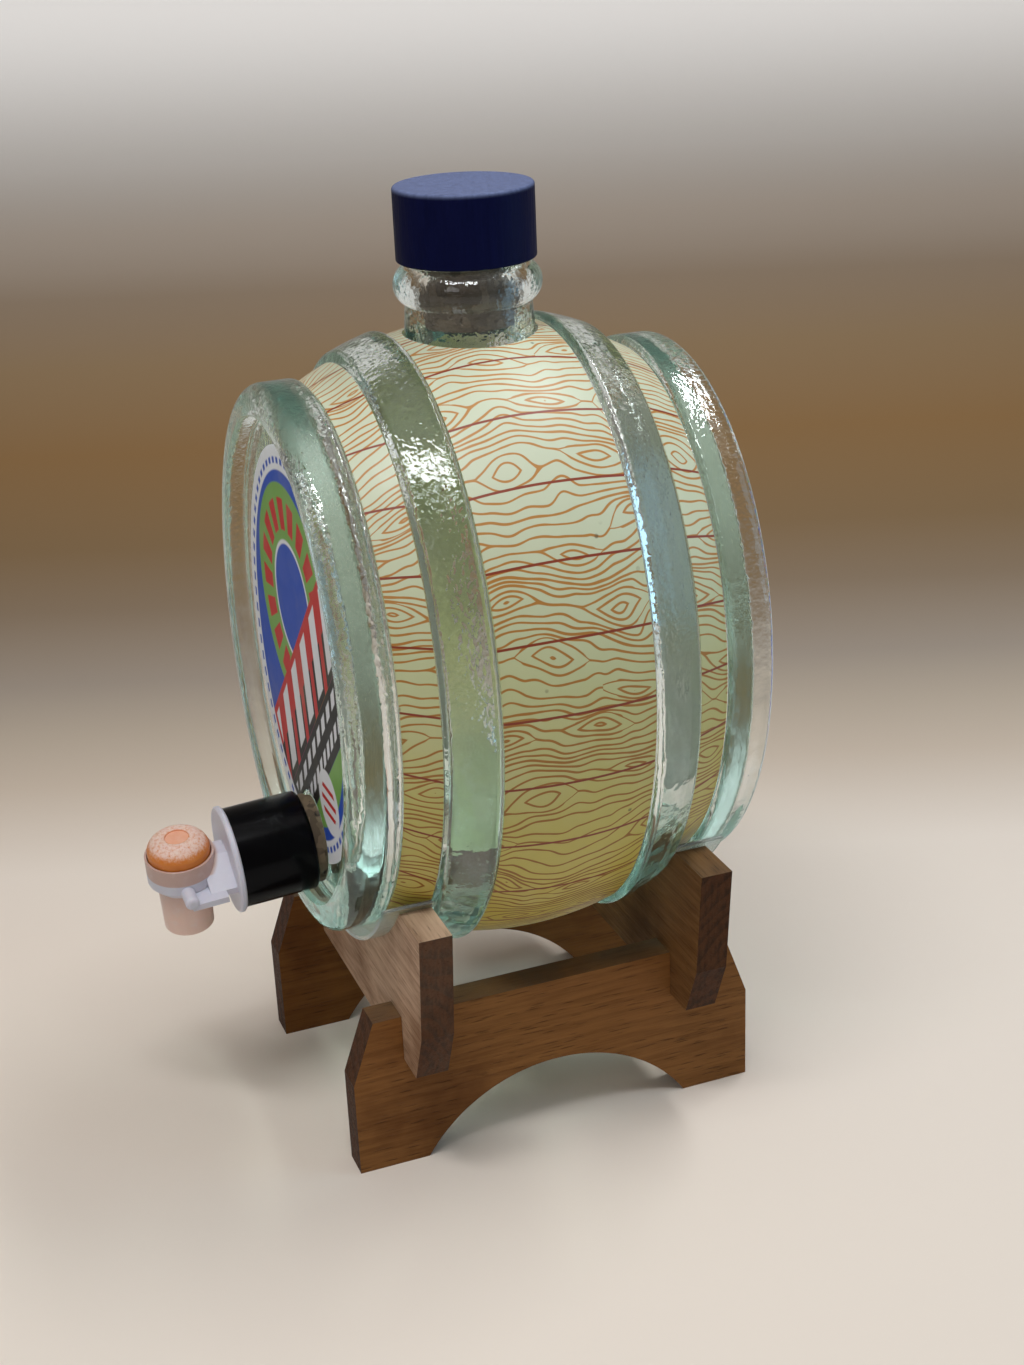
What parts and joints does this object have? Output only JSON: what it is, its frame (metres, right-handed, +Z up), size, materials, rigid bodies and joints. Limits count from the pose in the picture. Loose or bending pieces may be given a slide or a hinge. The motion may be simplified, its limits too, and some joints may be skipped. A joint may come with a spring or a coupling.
{
  "type": "drink barrel with tap on a cradle stand",
  "caption": "Oval glass drink barrel with paper wood-grain bands, corked neck and push-button tap, lying in a wooden cradle stand.",
  "frame": {"origin": "centre of the stand's footprint on the floor, midway between the rails and between the boards", "axes": "+Z up, -Y the way the tap points, +X to the right when facing +Y"},
  "size_m": [0.155, 0.176, 0.2831],
  "materials": {
    "rail_wood": "stained, satin",
    "board_wood": "stained, satin",
    "clear_liner": "clear soft strip",
    "barrel_glass": "clear with a green tint",
    "band_paper": "printed wood grain, satin",
    "head_paper": "printed, satin",
    "cap_wood": "painted dark blue, matt",
    "cork": "natural cork",
    "sleeve_black": "semi-gloss",
    "tap_white": "moulded, slightly translucent",
    "spring_steel": "drawn wire",
    "button_orange": "moulded",
    "stem_white": "moulded",
    "valve_rubber": "moulded"
  },
  "bodies": {
    "stand": {"left_rail": "rail_wood", "right_rail": "rail_wood", "front_cradle": "board_wood", "rear_cradle": "board_wood", "front_cradle_liner": "clear_liner", "rear_cradle_liner": "clear_liner"},
    "barrel": {"glass_barrel": "barrel_glass", "centre_label": "band_paper", "front_band_label": "band_paper", "rear_band_label": "band_paper", "front_head_label": "head_paper", "rear_head_label": "head_paper"},
    "stopper": {"stopper_cap": "cap_wood", "stopper_cork": "cork"},
    "tap": {"tap_cork": "cork", "tap_sleeve": "sleeve_black", "tap_body": "tap_white", "return_spring": "spring_steel"},
    "button": {"push_button": "button_orange", "valve_stem": "stem_white", "valve_disc": "valve_rubber"}
  },
  "joints": [
    {"name": "barrel_lift", "type": "slide", "parent": "stand", "child": "barrel", "axis": [0, 0, 1], "range_m": [0, 0.06]},
    {"name": "stopper_pull", "type": "slide", "parent": "barrel", "child": "stopper", "axis": [0, 0, 1], "range_m": [0, 0.035]},
    {"name": "tap_pull", "type": "slide", "parent": "barrel", "child": "tap", "axis": [0, -0.9981, -0.061], "range_m": [0, 0.03]},
    {"name": "button_press", "type": "slide", "parent": "tap", "child": "button", "axis": [-0.1564, 0.0603, -0.9858], "range_m": [0, 0.004], "stiffness_N_per_m": 400, "springref_m": -0.002, "deforming": ["return_spring"]}
  ]
}
